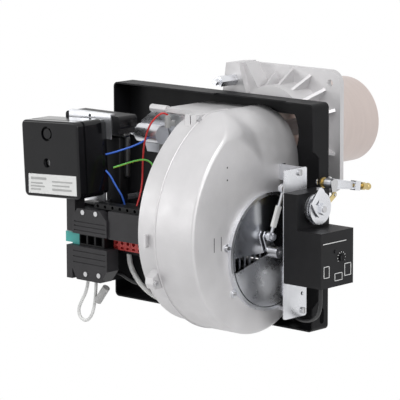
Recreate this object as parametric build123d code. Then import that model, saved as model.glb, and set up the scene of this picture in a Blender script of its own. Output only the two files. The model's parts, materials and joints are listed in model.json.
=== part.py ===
"""Industrial gas burner: flange, blast tube, fan scroll, air damper drive and controls.

Millimetres.  Pieces are laid out from the tray's lower left corner: X to the right, Y away
from the front towards the boiler, Z up.  save() then moves each of them so that the origin is
the centre of the flange's mounting face, on the axis of the blast tube.
"""
from build123d import *
from math import atan2, cos, degrees, exp, hypot, pi, radians, sin, tan
import os

# Tray
TRAY_W, TRAY_H, TRAY_D = 346.0, 290.0, 30.5
SHEET = 2.0
INSIDE_Y = -SHEET
STEP_Y = -18.5
STEP_TOP, STEP_LOW = 232.0, 40.0
CABLE_HOLES = ((168.0, 14.0), (292.0, 15.0))

# Flange and blast tube
TUBE_X, TUBE_Z = 250.0, 245.0
FLANGE_Y, FLANGE_T = 43.0, 7.0
FACE_Y = FLANGE_Y + FLANGE_T
FLANGE_W, FLANGE_R = 158.0, 18.0
HOLE_OFF, HOLE_R = 62.0, 4.5
NECK_R, NECK_IN = 58.0, 52.0
TUBE_R, TUBE_WALL, TUBE_END = 56.0, 1.5, 150.0
SEAT_Y, COLLAR_R = FACE_Y - 4.0, 57.0
OPEN_TOP = 270.0

# Fan scroll
FAN_Y, FAN_Z = -61.0, 104.0
X_LEFT, X_SEAM, X_RIGHT = 202.0, 234.0, 298.0
WALL = 3.5
SPIRAL_R, SPIRAL_K, SPIRAL_FROM, SPIRAL_TO = 95.0, 0.003417, 288, 108
TOP_Z = 278.0
BOX_X, BOX_Y, BOX_Z, BOX_LOW = 142.0, -80.0, 274.0, 200.0
SEAM_STEP = 5.0
ROUND_R, EDGE_R = 75.0, 4.0
INLET_R, DRUM_R = 66.0, 76.0
WHEEL_R, WHEEL_IN, WHEEL_X0, WHEEL_X1, BLADES = 66.0, 53.0, 216.0, 284.0, 32

# Intake and damper
RING_R, RING_IN, RING_T = 75.5, 71.3, 5.0
DISC_R, DISC_X = 71.0, X_RIGHT - 0.5
SLOT_PITCH, SLOT_W, SLOT_FIRST = 9.5, 7.0, -59.5
DAMPER_R, DAMPER_X, DAMPER_T = 70.0, 302.0, 1.5
DAMPER_FROM, DAMPER_EDGE = 196.0, 28.0
HUB_R, PIVOT_R = 7.2, 4.0
LEVER = (-8.0, 20.5)
FIT = 0.05

# Servomotor, its shaft and the gas lever's shaft
SERVO_X0, SERVO_X1 = 341.5, 402.0
SERVO_Y0, SERVO_Y1 = -81.0, -19.0
SERVO_Z0, SERVO_STEP, SERVO_Z1 = 71.0, 140.5, 185.0
COLUMN_X = 363.0
SHAFT_Y, SHAFT_Z, SHAFT_R = -50.0, 165.0, 4.0
PLATE_X = SERVO_X0 - SHEET
GAS_Y, GAS_Z = -11.0, 190.0
CRANK = (-1.1, -13.0)
ROD_LOW_X, ROD_HIGH_X, EYE_T, EYE_R = 309.5, 321.5, 5.0, 6.0
LEVER_X0 = ROD_HIGH_X + EYE_T / 2 + 0.6
GAS_ARM, GAS_ARM_DEG = 76.0, -10.0

# Electrical parts
CASE_X, CASE_Z, CASE_W, CASE_H = 52.0, 211.0, 101.0, 98.5
CASE_Y0, CASE_LID, CASE_Y1 = -200.0, 13.0, -146.0
CASE_TILT = -3.0
PANEL_Y, BASE_BACK = -160.0, -122.0
BASE_X0, BASE_MID = 61.0, 118.0
BASE_Z0, BASE_Z1, BASE_Z2 = 56.0, 95.0, 152.0

LOW_PIN = (FAN_Y + LEVER[0], FAN_Z + LEVER[1])
HIGH_PIN = (SHAFT_Y + LEVER[0], SHAFT_Z + LEVER[1])
ROD_LOW, ROD_HIGH = Vector(ROD_LOW_X, *LOW_PIN), Vector(ROD_HIGH_X, *HIGH_PIN)
SHANK, SLEEVE_FROM, SLEEVE_L = 30.0, 13.0, 27.0
SHIFT = Location((-TUBE_X, -FACE_Y, -TUBE_Z))
os.makedirs("parts", exist_ok=True)


def save(node, *shapes):
    """Write one node, in the part's own frame."""
    solids = [solid for shape in shapes for solid in shape.solids()]
    whole = solids[0] if len(solids) == 1 else Compound(solids)
    export_step(whole.moved(SHIFT), f"parts/{node}.step")


def block(x0, x1, y0, y1, z0, z1):
    return Pos((x0 + x1) / 2, (y0 + y1) / 2, (z0 + z1) / 2) * Box(x1 - x0, y1 - y0, z1 - z0)


def bar_x(x0, x1, y, z, r):
    return Pos((x0 + x1) / 2, y, z) * Rot(0, 90, 0) * Cylinder(r, x1 - x0)


def bar_y(x, y0, y1, z, r):
    return Pos(x, (y0 + y1) / 2, z) * Rot(90, 0, 0) * Cylinder(r, y1 - y0)


def bar_z(x, y, z0, z1, r):
    return Pos(x, y, (z0 + z1) / 2) * Cylinder(r, z1 - z0)


def hex_x(x0, x1, y, z, flats):
    shape = extrude(RegularPolygon(flats / 2, 6, major_radius=False), x1 - x0)
    return Pos(x0, y, z) * Rot(0, 90, 0) * shape


def hex_y(x, y0, y1, z, flats):
    shape = extrude(RegularPolygon(flats / 2, 6, major_radius=False), y1 - y0)
    return Pos(x, y1, z) * Rot(90, 0, 0) * shape


def plate_x(points, x0, x1):
    """A plate of the (y, z) outline, from x0 to x1."""
    outline = Polyline([(x0, y, z) for y, z in points], close=True)
    return extrude(make_face(outline), x1 - x0, dir=(1, 0, 0))


def plate_y(points, y0, y1):
    """A plate of the (x, z) outline, from y0 to y1."""
    outline = Polyline([(x, y0, z) for x, z in points], close=True)
    return extrude(make_face(outline), y1 - y0, dir=(0, 1, 0))


def soften(shape, axis, radius):
    return fillet(shape.edges().filter_by(axis), radius)


def bar_between(a, b, r):
    a, b = Vector(*a), Vector(*b)
    plane = Plane(origin=a, z_dir=b - a)
    return extrude(plane * Circle(r), (b - a).length)


# ---------------------------------------------------------------- tray and boiler side

def mounting_tray():
    outer = soften(block(0, TRAY_W, -TRAY_D, 0, 0, TRAY_H), Axis.Y, 6.5)
    inner = block(SHEET, TRAY_W - SHEET, -TRAY_D - 1, INSIDE_Y, SHEET, TRAY_H - SHEET)
    tray = outer - soften(inner, Axis.Y, 4.5)
    tray -= block(179, 300, -TRAY_D - 1, -24.5, TRAY_H - 8, TRAY_H + 1)
    step = [(-TRAY_D - 1, STEP_LOW - 10), (STEP_Y, STEP_LOW), (STEP_Y, STEP_TOP - 10)]
    step += [(-TRAY_D - 1, STEP_TOP)]
    tray -= plate_x(step, TRAY_W - 8, TRAY_W + 1)
    tray -= air_opening(INSIDE_Y - 1, 1)
    tray -= bar_x(TRAY_W - 5, TRAY_W + 5, GAS_Y, GAS_Z, 5.5)
    slot = bar_x(TRAY_W - 5, TRAY_W + 5, -12, 13, 4) + bar_x(TRAY_W - 5, TRAY_W + 5, -12, 25, 4)
    slot += block(TRAY_W - 5, TRAY_W + 5, -16, -8, 13, 25)
    tray -= slot
    tray -= block(X_LEFT - 1.5, X_RIGHT + 14, -5, 1, FAN_Z - 50, FAN_Z + 50)
    for x, z in CABLE_HOLES:
        tray -= bar_y(x, -5, 1, z, 4.5)
    return tray


def air_opening(y0, y1):
    disc = bar_y(TUBE_X, y0, y1, TUBE_Z, NECK_IN - 4)
    return disc - block(TUBE_X - 60, TUBE_X + 60, y0 - 1, y1 + 1, OPEN_TOP, OPEN_TOP + 50)


def flange_rib(angle, length):
    """A triangular rib in the plane of the tube's axis, from the neck to the plate."""
    r0 = NECK_R - 1
    points = [(r0, FLANGE_Y - 30), (r0, FLANGE_Y + 1), (r0 + length, FLANGE_Y + 1)]
    wedge = extrude(make_face(Polyline([(r, y, -2) for r, y in points], close=True)), 4)
    return Pos(TUBE_X, 0, TUBE_Z) * Rot(0, -angle, 0) * wedge


def burner_flange():
    half = FLANGE_W / 2
    plate = block(TUBE_X - half, TUBE_X + half, FLANGE_Y, FACE_Y, TUBE_Z - half, TUBE_Z + half)
    flange = soften(plate, Axis.Y, FLANGE_R)
    flange += bar_y(TUBE_X, 0, FLANGE_Y + 1, TUBE_Z, NECK_R)
    for angle in (22, 45, 67, 90, 113, 202, 225, 247, 292, 315, 338):
        flange += flange_rib(angle, 20)
    boss = [(158, 284), (164.5, 325), (186, 327), (199, 288), (203, 270), (180, 268)]
    flange += plate_y(boss, 10, FLANGE_Y + 1)
    flange += plate_y([(178, 286), (178, 325.5), (192, 325.5), (215, 291)], 18, FLANGE_Y + 1)
    flange -= bar_y(TUBE_X, 4, FACE_Y + 1, TUBE_Z, NECK_IN)
    flange -= air_opening(-1, 5)
    flange -= bar_y(TUBE_X, SEAT_Y, FACE_Y + 1, TUBE_Z, COLLAR_R + FIT)
    for dx in (-HOLE_OFF, HOLE_OFF):
        for dz in (-HOLE_OFF, HOLE_OFF):
            flange -= bar_y(TUBE_X + dx, FLANGE_Y - 25, FACE_Y + 1, TUBE_Z + dz, HOLE_R)
    flange -= bar_x(TUBE_X - NECK_R - 5, TUBE_X - 30, GAS_PIPE_Y, TUBE_Z, GAS_PIPE_R)
    return flange


def flange_stud():
    """Long coupling nut with its screw, on the boss of the flange."""
    nut = hex_y(178, -20, 9.9, 304, 13)
    return nut + bar_y(178, -25, -20, 304, 4) + hex_y(178, -28, -24, 304, 8)


def blast_tube():
    tube = bar_y(TUBE_X, FACE_Y, TUBE_END, TUBE_Z, TUBE_R)
    tube += bar_y(TUBE_X, SEAT_Y, FACE_Y, TUBE_Z, COLLAR_R)
    tube -= bar_y(TUBE_X, SEAT_Y - 1, TUBE_END + 1, TUBE_Z, TUBE_R - TUBE_WALL)
    return tube - bar_x(TUBE_X + 40, TUBE_X + 60, FACE_Y + 12, TUBE_Z + 8, 1.6)


GAS_PIPE_Y, GAS_PIPE_R, GAS_PIPE_IN, GAS_PIPE_END = 22.0, 16.85, 13.6, 112.0
LANCE_R, LANCE_END, DIFFUSER_Y, DIFFUSER_R = 11.0, 116.0, 118.0, 50.0


def gas_pipe():
    """Pipe from the gas valve into the neck, with an elbow to the nozzle in the blast tube."""
    low = TUBE_X - NECK_IN + 6
    pipe = bar_x(GAS_PIPE_END, low, GAS_PIPE_Y, TUBE_Z, GAS_PIPE_R)
    pipe += hex_x(GAS_PIPE_END + 14, GAS_PIPE_END + 34, GAS_PIPE_Y, TUBE_Z, 36)
    pipe += bar_x(low, TUBE_X, GAS_PIPE_Y, TUBE_Z, LANCE_R)
    pipe += bar_y(TUBE_X, GAS_PIPE_Y - LANCE_R, LANCE_END, TUBE_Z, LANCE_R)
    pipe -= bar_x(GAS_PIPE_END - 1, low - 4, GAS_PIPE_Y, TUBE_Z, GAS_PIPE_IN)
    pipe -= bar_x(low - 5, TUBE_X, GAS_PIPE_Y, TUBE_Z, LANCE_R - 1.6)
    pipe -= bar_y(TUBE_X, GAS_PIPE_Y, LANCE_END - 4, TUBE_Z, LANCE_R - 1.6)
    for k in range(8):
        angle = radians(45 * k)
        pipe -= bar_y(TUBE_X + 5.5 * cos(angle), LANCE_END - 5, LANCE_END + 1,
                      TUBE_Z + 5.5 * sin(angle), 1.5)
    return pipe


def diffuser_disc():
    disc = bar_y(TUBE_X, DIFFUSER_Y - 10, DIFFUSER_Y, TUBE_Z, DIFFUSER_R)
    disc -= bar_y(TUBE_X, DIFFUSER_Y - 11, DIFFUSER_Y - 2, TUBE_Z, DIFFUSER_R - 1.5)
    disc += bar_y(TUBE_X, DIFFUSER_Y - 9, DIFFUSER_Y, TUBE_Z, LANCE_R + 3)
    disc -= bar_y(TUBE_X, DIFFUSER_Y - 11, DIFFUSER_Y + 1, TUBE_Z, LANCE_R)
    for k in range(12):
        slot = block(20, 42, DIFFUSER_Y - 3, DIFFUSER_Y + 1, -2, 2)
        disc -= Pos(TUBE_X, 0, TUBE_Z) * Rot(0, 30 * k + 15, 0) * slot
    for dx in ELECTRODE_DX:
        disc += bar_y(TUBE_X + dx, DIFFUSER_Y - 9, DIFFUSER_Y, TUBE_Z, 6)
        disc -= bar_y(TUBE_X + dx, DIFFUSER_Y - 11, DIFFUSER_Y + 1, TUBE_Z, 3.5)
    return disc


ELECTRODE_DX = (-21.0, 21.0)


def electrode(dx, tip):
    """Ceramic body through the diffuser, with its wire tip."""
    rod = bar_y(TUBE_X + dx, 72, DIFFUSER_Y + 3, TUBE_Z, 3.5)
    rod += bar_y(TUBE_X + dx, DIFFUSER_Y + 3, DIFFUSER_Y + tip, TUBE_Z, 1.1)
    return rod + bar_y(TUBE_X + dx, 66, 72, TUBE_Z, 2)


# ---------------------------------------------------------------- fan scroll

def spiral_point(angle, cut):
    r = SPIRAL_R * exp(SPIRAL_K * (SPIRAL_FROM - angle)) - cut
    return FAN_Y + r * cos(radians(angle)), FAN_Z + r * sin(radians(angle))


def scroll_solid(x0, x1, cut, back):
    """The scroll's outline, cut millimetres inside its outer face, from x0 to x1."""
    spiral = [spiral_point(a, cut) for a in range(SPIRAL_FROM, SPIRAL_TO - 1, -12)]
    spiral += [(-84.0, TOP_Z - 1.2 - cut), (-60.0, TOP_Z - cut)]
    start, end = spiral[0], spiral[-1]
    corner = [(back, TOP_Z - cut), (back, 150 + cut), (-14 - cut, 96 + cut)]
    curve = Spline([(x0, y, z) for y, z in spiral])
    rest = Polyline([(x0, y, z) for y, z in [end] + corner + [start]])
    scroll = extrude(make_face(curve + rest), x1 - x0, dir=(1, 0, 0))
    return scroll + bar_x(x0, x1, FAN_Y, FAN_Z, DRUM_R - cut)


def corner_form(cut):
    """What the scroll's soft top right corner leaves: sharp in front, round at the back."""
    def profile(y, radius):
        face = Pos(0, y, 0) * Rot(90, 0, 0) * make_face(
            Polyline([(100, -10), (X_RIGHT - cut, -10), (X_RIGHT - cut, TOP_Z - cut),
                      (100, TOP_Z - cut)], close=True))
        corner = face.vertices().sort_by(Axis.X)[-2:].sort_by(Axis.Z)[-1]
        return fillet(corner, radius)
    front = extrude(profile(-150, EDGE_R), 100, dir=(0, -1, 0))
    middle = loft([profile(-150, EDGE_R), profile(-40, ROUND_R)], ruled=True)
    rear = extrude(profile(-40, ROUND_R), 41, dir=(0, 1, 0))
    return front + middle + rear


def fan_housing_intake():
    outer = scroll_solid(X_SEAM, X_RIGHT, 0, INSIDE_Y) & corner_form(0)
    inner = scroll_solid(X_SEAM - 1, X_RIGHT - WALL, WALL, INSIDE_Y + 1) & corner_form(WALL)
    inner += block(X_SEAM - 1, X_RIGHT - WALL, -60, INSIDE_Y + 1, 210, TOP_Z - WALL) & corner_form(WALL)
    housing = outer - inner
    housing -= bar_x(X_RIGHT - 10, X_RIGHT + 1, FAN_Y, FAN_Z, INLET_R)
    for y, z in ((-137.2, 218.7), (-137.2, 203.1)):
        housing -= bar_x(X_RIGHT - 3, X_RIGHT + 1, y, z, 2)
    for y in (-161.3, -148.4):
        housing -= block(X_RIGHT - 2, X_RIGHT + 1, y - 1, y + 1, 117, 134)
    return housing


def fan_housing_motor_side():
    outer = scroll_solid(X_LEFT, X_SEAM, SEAM_STEP, INSIDE_Y)
    outer &= block(X_LEFT, X_SEAM, -300, 0, -20, BOX_Z)
    outer += soften(block(BOX_X, X_SEAM, BOX_Y, INSIDE_Y, BOX_LOW, BOX_Z), Axis.Y, 3)
    wall = SEAM_STEP + WALL
    inner = scroll_solid(X_LEFT + WALL, X_SEAM + 1, wall, INSIDE_Y + 1)
    inner &= block(X_LEFT, X_SEAM + 1, -300, 0, -20, BOX_Z - WALL)
    inner += block(BOX_X + WALL, X_SEAM + 1, BOX_Y + WALL, INSIDE_Y + 1, BOX_LOW + WALL, BOX_Z - WALL)
    housing = outer - inner
    housing -= bar_x(X_LEFT - 1, X_LEFT + WALL + 1, FAN_Y, FAN_Z, 40)
    lug = block(215, X_SEAM - 0.1, *LUG_Y, 260, 276) - block(*LUG_SLOT, LUG_Y[0] - 1, LUG_Y[0] + 9, 264, 277)
    lug -= scroll_solid(X_LEFT - 1, X_SEAM + 1, SEAM_STEP + 1, INSIDE_Y + 1)
    housing += lug + seam_boss() + side_hook()
    housing -= bar_x(214, X_SEAM, *LUG_SCREW, 2)
    return housing - bar_x(214, X_SEAM, *BOSS_SCREW, 2)


LUG_Y, LUG_SLOT, LUG_SCREW = (-123.5, -98.0), (223.5, 225.0), (-119.5, 272.0)
BOSS_ANGLE, BOSS_R = 192.0, 141.0
BOSS_SCREW = (FAN_Y + BOSS_R * cos(radians(BOSS_ANGLE)), FAN_Z + BOSS_R * sin(radians(BOSS_ANGLE)))
HOOK_X, HOOK_Z, HOOK_R, HOOK_BAR = 218.0, 126.0, 6.5, 2.3


def seam_boss():
    """Tapered boss on the lower part of the seam, drilled for a screw across it."""
    def polar(angle, radius):
        return FAN_Y + radius * cos(radians(angle)), FAN_Z + radius * sin(radians(angle))
    outline = [polar(BOSS_ANGLE - 6, 128), polar(BOSS_ANGLE + 5, 126), polar(BOSS_ANGLE + 3, BOSS_R + 3)]
    outline += [polar(BOSS_ANGLE, BOSS_R + 5), polar(BOSS_ANGLE - 3, BOSS_R + 3)]
    return plate_x(outline, 221, X_SEAM - 0.1)


def side_hook():
    """Cast hook for the cables, open to the left."""
    y = FAN_Y + (spiral_point(171, SEAM_STEP)[0] - FAN_Y)
    hook = None
    for z in (HOOK_Z - HOOK_R, HOOK_Z + HOOK_R):
        finger = bar_y(HOOK_X, y - 6, y + 3, z, HOOK_BAR)
        hook = finger if hook is None else hook + finger
    return hook + block(HOOK_X - HOOK_BAR, HOOK_X + HOOK_BAR, y - 6, y - 2.5, HOOK_Z - HOOK_R, HOOK_Z + HOOK_R)


def screw_x(x, y, z, r=2.8):
    """Slotted screw whose head stands to the right of x."""
    screw = bar_x(x, x + 2.4, y, z, r)
    return screw - block(x + 1.4, x + 3, y - 0.5, y + 0.5, z - 4, z + 4)


def housing_screws():
    """Slotted screws of the housing halves and of the intake ring."""
    screws = []
    for y, z in (LUG_SCREW, BOSS_SCREW):
        head = bar_x(X_SEAM, X_SEAM + 3, y, z, 3.6) - scroll_solid(X_SEAM - 1, X_SEAM + 5, -0.1, INSIDE_Y)
        screws.append(head + bar_x(224, X_SEAM, y, z, 2))
    for a in RING_SCREWS:
        y, z = FAN_Y + 79.4 * cos(radians(a)), FAN_Z + 79.4 * sin(radians(a))
        screws.append(screw_x(X_RIGHT + 2, y, z))
    return screws


def hinge_bar():
    """Hinge pin's tube with the bar that lies in front of the housing's top edge."""
    bar = bar_x(122, 150, -85.2, 272, 5) + block(150, 222, -88, BOX_Y, 269, 274.5)
    return bar - scroll_solid(X_LEFT - 0.1, X_SEAM + 1, SEAM_STEP - 0.1, INSIDE_Y)


def fan_wheel():
    """Drum wheel with forward curved blades."""
    wheel = bar_x(WHEEL_X0, WHEEL_X0 + 2, FAN_Y, FAN_Z, WHEEL_R)
    front = bar_x(WHEEL_X1 - 2, WHEEL_X1, FAN_Y, FAN_Z, WHEEL_R)
    wheel += front - bar_x(WHEEL_X1 - 3, WHEEL_X1 + 1, FAN_Y, FAN_Z, WHEEL_IN)
    wheel += bar_x(WHEEL_X0, WHEEL_X0 + 30, FAN_Y, FAN_Z, 13)
    blade = Rot(-25, 0, 0) * block(WHEEL_X0 + 1, WHEEL_X1 - 1, -0.6, 0.6, -5, 5)
    for k in range(BLADES):
        wheel += Pos(0, FAN_Y, FAN_Z) * Rot(360 / BLADES * k, 0, 0) * Pos(0, 0, 59.5) * blade
    return wheel - bar_x(WHEEL_X0 - 1, WHEEL_X0 + 31, FAN_Y, FAN_Z, 6)


# ---------------------------------------------------------------- motor

MOTOR_X0, MOTOR_X1, MOTOR_R = 104.0, 198.0, 42.0


def motor_housing():
    """Ribbed motor case with its end shields, flanged to the fan housing."""
    body = bar_x(MOTOR_X0, MOTOR_X1, FAN_Y, FAN_Z, MOTOR_R)
    for k in range(24):
        rib = block(MOTOR_X0 + 12, MOTOR_X1 - 8, -1, 1, MOTOR_R - 1, MOTOR_R + 4)
        body += Pos(0, FAN_Y, FAN_Z) * Rot(15 * k, 0, 0) * rib
    body += bar_x(MOTOR_X1, X_LEFT, FAN_Y, FAN_Z, 50)
    body -= bar_x(MOTOR_X0 + 5, MOTOR_X1 - 2, FAN_Y, FAN_Z, MOTOR_R - 4)
    body += bar_x(MOTOR_X0 + 4, MOTOR_X0 + 16, FAN_Y, FAN_Z, 14)
    body += bar_x(MOTOR_X1 - 12, MOTOR_X1 - 1, FAN_Y, FAN_Z, 14)
    return body - bar_x(MOTOR_X0 + 5, X_LEFT + 1, FAN_Y, FAN_Z, 6 + FIT)


def motor_shaft():
    """Shaft with the rotor core on it, and the wheel's nut at its end."""
    shaft = bar_x(MOTOR_X0 + 6, WHEEL_X0 + 36, FAN_Y, FAN_Z, 6)
    shaft += bar_x(MOTOR_X0 + 26, MOTOR_X1 - 26, FAN_Y, FAN_Z, 25)
    return shaft + hex_x(WHEEL_X0 + 30.1, WHEEL_X0 + 35, FAN_Y, FAN_Z, 18)


# ---------------------------------------------------------------- intake and air damper

def intake_ring():
    ring = bar_x(X_RIGHT, X_RIGHT + RING_T, FAN_Y, FAN_Z, RING_R)
    for a in RING_SCREWS:
        y, z = FAN_Y + 79.4 * cos(radians(a)), FAN_Z + 79.4 * sin(radians(a))
        ring += bar_x(X_RIGHT, X_RIGHT + 2, y, z, 5)
    return ring - bar_x(X_RIGHT - 1, X_RIGHT + RING_T + 1, FAN_Y, FAN_Z, RING_IN)


RING_SCREWS = (10.5, 169.5, 214.5)


def intake_disc():
    """Intake plate with upright slots in its lower half."""
    disc = bar_x(X_RIGHT, X_RIGHT + 1.5, FAN_Y, FAN_Z, DISC_R)
    reach = DISC_R - 7
    cut = None
    for k in range(13):
        y = SLOT_FIRST + SLOT_PITCH * k
        if abs(y) > reach - 4 or abs(y) < 9:
            continue
        slot = block(X_RIGHT - 1, X_RIGHT + 3, FAN_Y + y - SLOT_W / 2, FAN_Y + y + SLOT_W / 2,
                     FAN_Z - reach, FAN_Z - 1)
        cut = slot if cut is None else cut + slot
    disc -= cut & bar_x(X_RIGHT - 1, X_RIGHT + 3, FAN_Y, FAN_Z, reach)
    disc += bar_x(X_RIGHT - 6, X_RIGHT + 1.5, FAN_Y, FAN_Z, 8)
    return disc - bar_x(X_RIGHT - 7, X_RIGHT + 3, FAN_Y, FAN_Z, PIVOT_R + FIT)


def damper_blade():
    """Sector that shuts the slots, with the ear that the tie rod turns it by."""
    n = 12
    sweep_to = 270 + degrees(atan2(DAMPER_EDGE, DAMPER_R * 0.92))
    arc = [DAMPER_FROM + (sweep_to - DAMPER_FROM) * k / n for k in range(n + 1)]
    rim = [(FAN_Y + DAMPER_R * cos(radians(a)), FAN_Z + DAMPER_R * sin(radians(a))) for a in arc]
    edge = FAN_Y + DAMPER_EDGE
    ear_y, ear_z = FAN_Y + LEVER[0], FAN_Z + LEVER[1]
    outline = [(FAN_Y - 6, FAN_Z - 3)] + rim[:-1]
    outline += [(edge, FAN_Z - DAMPER_R * 0.9), (edge, FAN_Z - 4), (FAN_Y + 8, FAN_Z + 6)]
    outline += [(ear_y + 6.5, ear_z), (ear_y + 3, ear_z + 6), (ear_y - 3, ear_z + 6), (ear_y - 6.5, ear_z)]
    blade = plate_x(outline, DAMPER_X, DAMPER_X + DAMPER_T)
    blade += block(DAMPER_X, DAMPER_X + 6, edge - DAMPER_T, edge, FAN_Z - 62, FAN_Z - 24)
    blade -= bar_x(DAMPER_X - 1, DAMPER_X + 3, FAN_Y, FAN_Z, PIVOT_R)
    return blade - bar_x(DAMPER_X - 1, DAMPER_X + 3, ear_y, ear_z, 2.5)


def damper_shaft():
    """Stepped shaft through the intake plate, with the hub that the blade is riveted to."""
    shaft = bar_x(X_RIGHT - 7, DAMPER_X + DAMPER_T, FAN_Y, FAN_Z, PIVOT_R)
    shaft += bar_x(X_RIGHT - 9, X_RIGHT - 6.5, FAN_Y, FAN_Z, 6.5)
    shaft += bar_x(DAMPER_X + DAMPER_T, X_RIGHT + 20, FAN_Y, FAN_Z, HUB_R)
    return shaft - hex_x(X_RIGHT + 17.5, X_RIGHT + 21, FAN_Y, FAN_Z, 5)


def pivot_stud(y, z, x0, x1, nut_x):
    stud = bar_x(x0, x1, y, z, 2.5)
    return stud + hex_x(nut_x, nut_x + 3, y, z, 8)


def rod_end(near, far, bore):
    """Eye and threaded shank of one end of the tie rod."""
    along = (far - near).normalized()
    eye = bar_x(near.X - EYE_T / 2, near.X + EYE_T / 2, near.Y, near.Z, EYE_R)
    eye += bar_between(near + along * 4, near + along * SHANK, 2)
    return eye - bar_x(near.X - EYE_T, near.X + EYE_T, near.Y, near.Z, bore)


def tie_rod_sleeve():
    """Hexagon sleeve that joins the two ends of the tie rod."""
    along = (ROD_HIGH - ROD_LOW).normalized()
    plane = Plane(origin=ROD_LOW + along * SLEEVE_FROM, z_dir=along)
    sleeve = extrude(plane * RegularPolygon(3.6, 6, major_radius=False), SLEEVE_L)
    sleeve -= bar_between(ROD_LOW, ROD_LOW + along * (SHANK + 0.5), 2)
    return sleeve - bar_between(ROD_HIGH, ROD_HIGH - along * (SHANK + 0.5), 2)


def lever_plate(y, z, reach, x0, x1, big, small):
    """Flat lever round one shaft and one pin."""
    lever = bar_x(x0, x1, y, z, big) + bar_x(x0, x1, y + reach[0], z + reach[1], small)
    length = hypot(*reach)
    ny, nz = -reach[1] / length, reach[0] / length
    outline = [(y + ny * big, z + nz * big), (y - ny * big, z - nz * big)]
    outline += [(y + reach[0] - ny * small, z + reach[1] - nz * small)]
    outline += [(y + reach[0] + ny * small, z + reach[1] + nz * small)]
    return lever + plate_x(outline, x0, x1)


def servo_lever():
    lever = lever_plate(SHAFT_Y, SHAFT_Z, LEVER, LEVER_X0, LEVER_X0 + 2.5, 7, 5)
    lever += bar_x(LEVER_X0 + 2.5, LEVER_X0 + 10, SHAFT_Y, SHAFT_Z, 7)
    lever -= bar_x(LEVER_X0 - 1, LEVER_X0 + 11, SHAFT_Y, SHAFT_Z, SHAFT_R)
    return lever - bar_x(LEVER_X0 - 1, LEVER_X0 + 11, SHAFT_Y + LEVER[0], SHAFT_Z + LEVER[1], 2.5)


# ---------------------------------------------------------------- servomotor

def servo_bracket():
    """Upright plate with two webs at its back that carry it on the fan housing."""
    outline = [(-80, 24), (-37, 24), (-37, 213), (-80, 213)]
    plate = soften(plate_x(outline, PLATE_X, SERVO_X0), Axis.X, 3)
    for z0, z1 in ((192, 212), (24.5, 29)):
        plate += block(X_RIGHT, PLATE_X + 1, -39, -37.2, z0, z1)
        plate += block(X_RIGHT, X_RIGHT + 1.8, -39, -29, z0, z1)
    plate -= bar_x(PLATE_X - 1, SERVO_X0 + 1, SHAFT_Y, SHAFT_Z, 6)
    plate -= bar_x(PLATE_X - 1, SERVO_X0 + 1, -45.3, 53.1, 2.6)
    for y, z in BRACKET_SCREWS:
        plate -= bar_x(PLATE_X - 1, SERVO_X0 + 1, y, z, 2)
    return plate


BRACKET_SCREWS = ((-51.0, 207.0), (-44.0, 31.0))


def bracket_fixings():
    """Screws with their nuts that hold the bracket's angle pieces."""
    parts = []
    for y, z in BRACKET_SCREWS:
        screw = bar_x(SERVO_X0, SERVO_X0 + 2.6, y, z, 4) + bar_x(PLATE_X - 6, SERVO_X0, y, z, 1.95)
        screw += hex_x(PLATE_X - 4, PLATE_X, y, z, 7)
        parts.append(screw - block(SERVO_X0 + 1.4, SERVO_X0 + 3, y - 0.6, y + 0.6, z - 5, z + 5))
    return parts


def servo_housing():
    body = block(SERVO_X0, SERVO_X1 - 2, SERVO_Y0, SERVO_Y1, SERVO_Z0, SERVO_STEP)
    body += block(SERVO_X0, COLUMN_X, SERVO_Y0, SERVO_Y1, SERVO_STEP - 1, SERVO_Z1)
    hollow = block(SERVO_X0 + 2.5, SERVO_X1 - 1, SERVO_Y0 + 2.5, SERVO_Y1 - 2.5, SERVO_Z0 + 2.5,
                   SERVO_STEP - 2.5)
    hollow += block(SERVO_X0 + 2.5, COLUMN_X - 2.5, SERVO_Y0 + 2.5, SERVO_Y1 - 2.5, SERVO_STEP - 4,
                    SERVO_Z1 - 2.5)
    body -= hollow
    return body - bar_x(SERVO_X0 - 1, COLUMN_X + 1, SHAFT_Y, SHAFT_Z, SHAFT_R + FIT)


def servo_faceplate():
    plate = block(SERVO_X1 - 2, SERVO_X1, SERVO_Y0, SERVO_Y1, SERVO_Z0, SERVO_STEP)
    return plate - bar_x(SERVO_X1 - 3, SERVO_X1 + 1, *KNOB, 3 + FIT)


KNOB = (-42.0, 106.0)


def servo_knob():
    knob = bar_x(SERVO_X1 - 8, SERVO_X1 + 2.5, *KNOB, 3)
    knob += bar_x(SERVO_X1 + 0.3, SERVO_X1 + 2.5, *KNOB, 4.4)
    return knob - block(SERVO_X1 + 1.2, SERVO_X1 + 3, KNOB[0] - 0.7, KNOB[0] + 0.7, KNOB[1] - 5, KNOB[1] + 5)


def servo_lamp():
    return bar_x(SERVO_X1, SERVO_X1 + 1.2, -53.6, 115.1, 2.4)


def servo_shaft():
    return bar_x(LEVER_X0 + 0.5, 382, SHAFT_Y, SHAFT_Z, SHAFT_R)


def servo_crank():
    crank = bar_x(363.6, 365.2, SHAFT_Y, SHAFT_Z, 17.5)
    crank -= bar_x(363, 366, SHAFT_Y, SHAFT_Z, SHAFT_R)
    return crank + bar_x(365.2, 367.4, SHAFT_Y + CRANK[0], SHAFT_Z + CRANK[1], 1.8)


CAMS = ((368.0, 21.0, 0), (370.6, 19.0, 70), (373.2, 22.0, 150))


def cam_disc(x0, radius, turn):
    """Switching cam: a disc whose edge rises along a spiral and drops at one step."""
    points = []
    for k in range(0, 36):
        a, r = radians(turn + 10 * k), radius - 3.5 + 3.5 * k / 35
        points.append((SHAFT_Y + r * cos(a), SHAFT_Z + r * sin(a)))
    cam = plate_x(points, x0, x0 + 1.5) + bar_x(x0 + 1.5, x0 + 2.5, SHAFT_Y, SHAFT_Z, 8)
    return cam - bar_x(x0 - 1, x0 + 4, SHAFT_Y, SHAFT_Z, SHAFT_R)


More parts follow.
